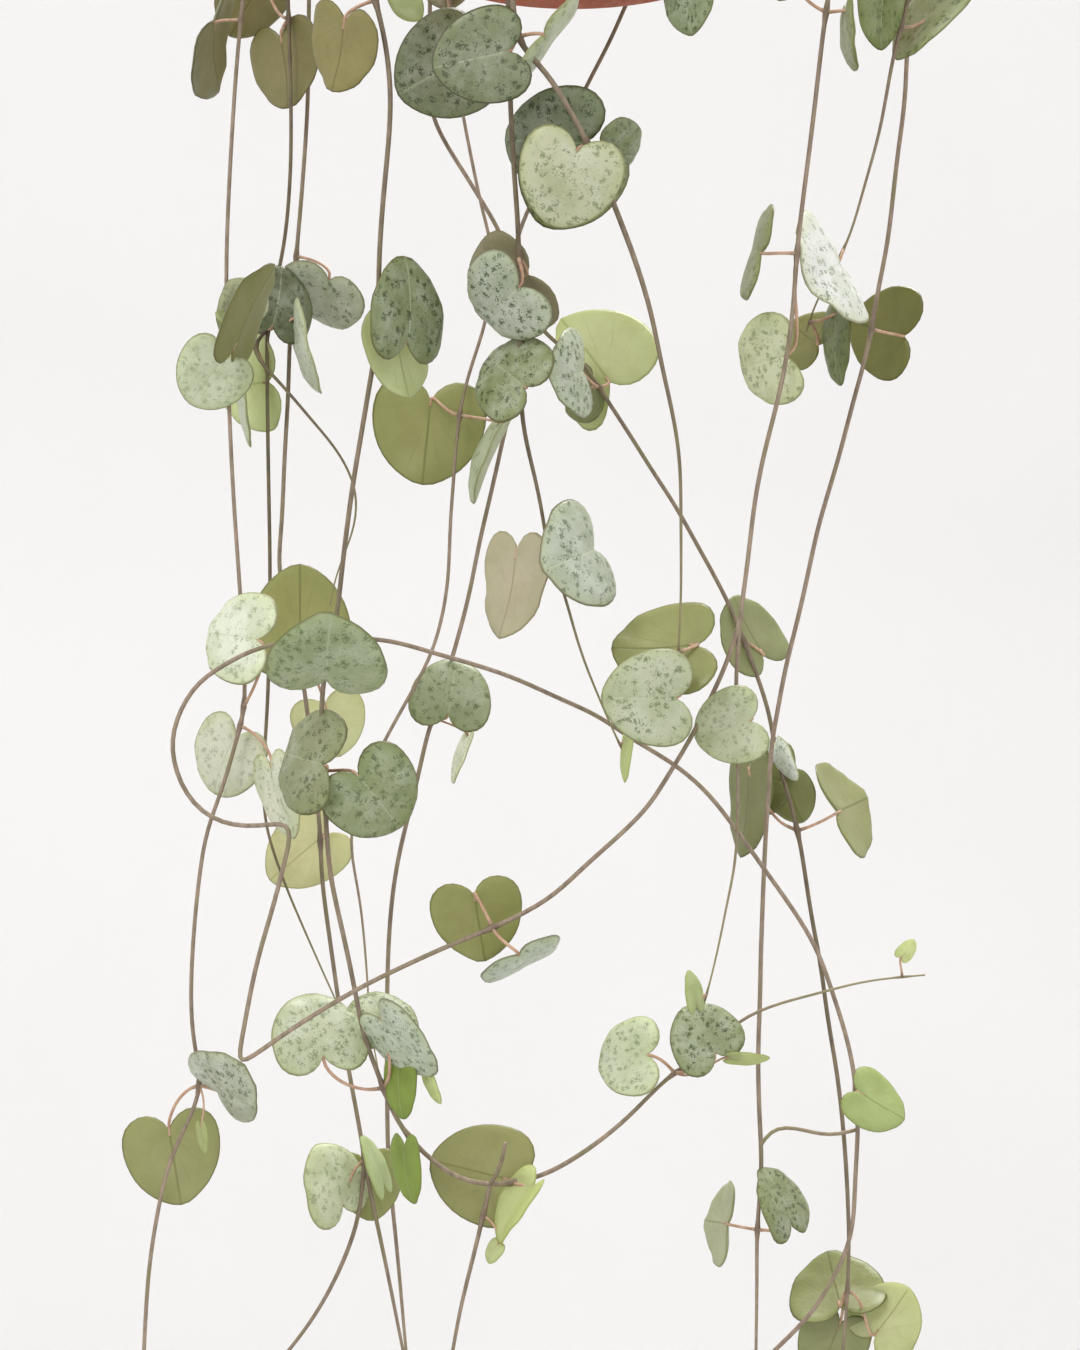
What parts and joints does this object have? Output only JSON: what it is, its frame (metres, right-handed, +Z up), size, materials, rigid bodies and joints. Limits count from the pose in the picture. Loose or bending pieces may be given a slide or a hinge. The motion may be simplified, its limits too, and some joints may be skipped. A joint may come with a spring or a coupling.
{
  "type": "hanging potted string of hearts plant",
  "caption": "Trailing house plant with wiry stems and pairs of marbled heart-shaped leaves spilling from a plain terracotta pot in a wire hanger with a hook.",
  "frame": {"origin": "top of the hook's bend, on its inner side, where it hangs", "axes": "+Z up, away from the pot; -Y towards the side that the picture shows; +X to the right as seen from there"},
  "size_m": [0.1697, 0.1565, 0.6443],
  "materials": {
    "terracotta": "unglazed matt fired clay with faint pale mineral bloom",
    "potting_soil": "dark crumbly potting mix",
    "galvanised_wire": "plain galvanised steel wire, slightly dull",
    "leafy_stem": "waxy grey-green leaves marbled with silver, olive to rose undersides, brown wiry stems"
  },
  "bodies": {
    "root": {"pot": "terracotta", "soil": "potting_soil", "hanger_hook": "galvanised_wire", "hanger_wire_1": "galvanised_wire", "hanger_wire_2": "galvanised_wire", "hanger_wire_3": "galvanised_wire", "stem_left_outer": "leafy_stem", "stem_left_middle": "leafy_stem", "stem_left_back": "leafy_stem", "stem_front_left": "leafy_stem", "stem_back_left": "leafy_stem", "stem_back_middle": "leafy_stem", "stem_front_middle": "leafy_stem", "stem_front_inner": "leafy_stem", "stem_front_right": "leafy_stem", "stem_back_right": "leafy_stem", "stem_right_long": "leafy_stem", "stem_right_short": "leafy_stem", "stem_right_outer": "leafy_stem", "crown_stem_1": "leafy_stem", "crown_stem_2": "leafy_stem", "crown_stem_3": "leafy_stem", "crown_stem_4": "leafy_stem", "crown_stem_5": "leafy_stem", "crown_stem_6": "leafy_stem", "crown_stem_7": "leafy_stem"}
  },
  "joints": []
}
